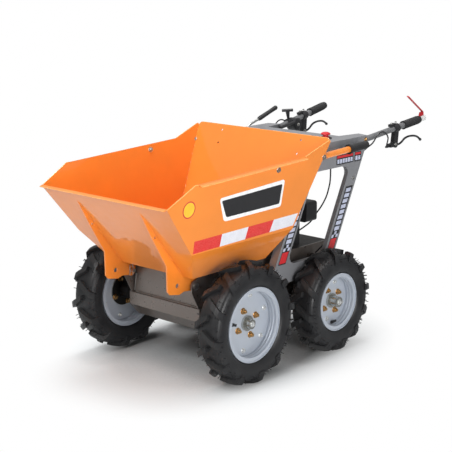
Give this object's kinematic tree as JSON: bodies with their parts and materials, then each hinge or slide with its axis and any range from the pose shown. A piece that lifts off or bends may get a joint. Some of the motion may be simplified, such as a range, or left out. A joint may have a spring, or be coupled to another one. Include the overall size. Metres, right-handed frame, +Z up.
{
  "type": "walk-behind site dumper",
  "caption": "Walk-behind four-wheel site dumper with a forward-tipping sheet-metal skip, treaded tyres, engine and handlebars with brake levers.",
  "frame": {"origin": "on the ground, under the middle of the outline", "axes": "+X forward over the skip's lip, +Y to the operator's left, +Z up"},
  "size_m": [1.6581, 0.772, 0.9522],
  "materials": {
    "orange_paint": "glossy orange paint",
    "chassis_paint": "metallic grey-brown paint",
    "grey_paint": "satin grey paint",
    "silver_paint": "satin silver grey paint",
    "zinc": "zinc plated steel",
    "alloy": "cast alloy",
    "black_plastic": "black moulding",
    "black_metal": "black paint",
    "soft_black": "ribbed rubber",
    "tyre_rubber": "treaded rubber",
    "red_plastic": "red moulding",
    "white_plastic": "white moulding"
  },
  "bodies": {
    "chassis": {"chassis_sides": "chassis_paint", "chassis_front_panel": "chassis_paint", "chassis_deck": "chassis_paint", "chassis_pan": "chassis_paint", "axle_case_front": "chassis_paint", "axle_case_rear": "chassis_paint", "axles": "zinc", "rest_pads": "soft_black", "pivot_pins": "zinc", "side_frame_left": "grey_paint", "side_frame_right": "grey_paint", "console": "grey_paint", "handlebars": "silver_paint", "hand_grips": "soft_black", "brake_perches": "black_metal", "brake_levers": "black_metal", "end_cap": "white_plastic", "presence_lever": "red_plastic", "stop_button": "red_plastic", "recoil_handle": "black_plastic", "gear_lever": "zinc", "gear_lever_grip": "soft_black", "throttle_control": "black_plastic", "engine_block": "alloy", "fan_shroud": "black_plastic", "fuel_tank": "black_plastic", "air_cleaner": "black_plastic", "muffler": "black_metal", "belt_cover": "black_metal", "brake_drums": "chassis_paint", "brake_arms": "chassis_paint", "brake_cables": "black_plastic", "throttle_cable": "black_plastic"},
    "skip": {"skip_floor": "orange_paint", "skip_side_left": "orange_paint", "skip_side_right": "orange_paint", "pivot_fins": "orange_paint", "tip_handle": "orange_paint", "tip_grip": "soft_black"},
    "wheel_fl": {"tyre_fl": "tyre_rubber", "rim_fl": "silver_paint", "hub_fl": "zinc"},
    "wheel_fr": {"tyre_fr": "tyre_rubber", "rim_fr": "silver_paint", "hub_fr": "zinc"},
    "wheel_rl": {"tyre_rl": "tyre_rubber", "rim_rl": "silver_paint", "hub_rl": "zinc"},
    "wheel_rr": {"tyre_rr": "tyre_rubber", "rim_rr": "silver_paint", "hub_rr": "zinc"}
  },
  "joints": [
    {"name": "skip_tip", "type": "hinge", "parent": "chassis", "child": "skip", "pos_m": [0.52967, 0, 0.362], "axis": [0, 1, 0], "range_deg": [0, 85]},
    {"name": "wheel_fl_spin", "type": "hinge", "parent": "chassis", "child": "wheel_fl", "pos_m": [0.42267, 0.33, 0.23], "axis": [0, 1, 0], "continuous": true},
    {"name": "wheel_fr_spin", "type": "hinge", "parent": "chassis", "child": "wheel_fr", "pos_m": [0.42267, -0.33, 0.23], "axis": [0, 1, 0], "continuous": true},
    {"name": "wheel_rl_spin", "type": "hinge", "parent": "chassis", "child": "wheel_rl", "pos_m": [-0.08333, 0.33, 0.205], "axis": [0, 1, 0], "continuous": true},
    {"name": "wheel_rr_spin", "type": "hinge", "parent": "chassis", "child": "wheel_rr", "pos_m": [-0.08333, -0.33, 0.205], "axis": [0, 1, 0], "continuous": true}
  ]
}
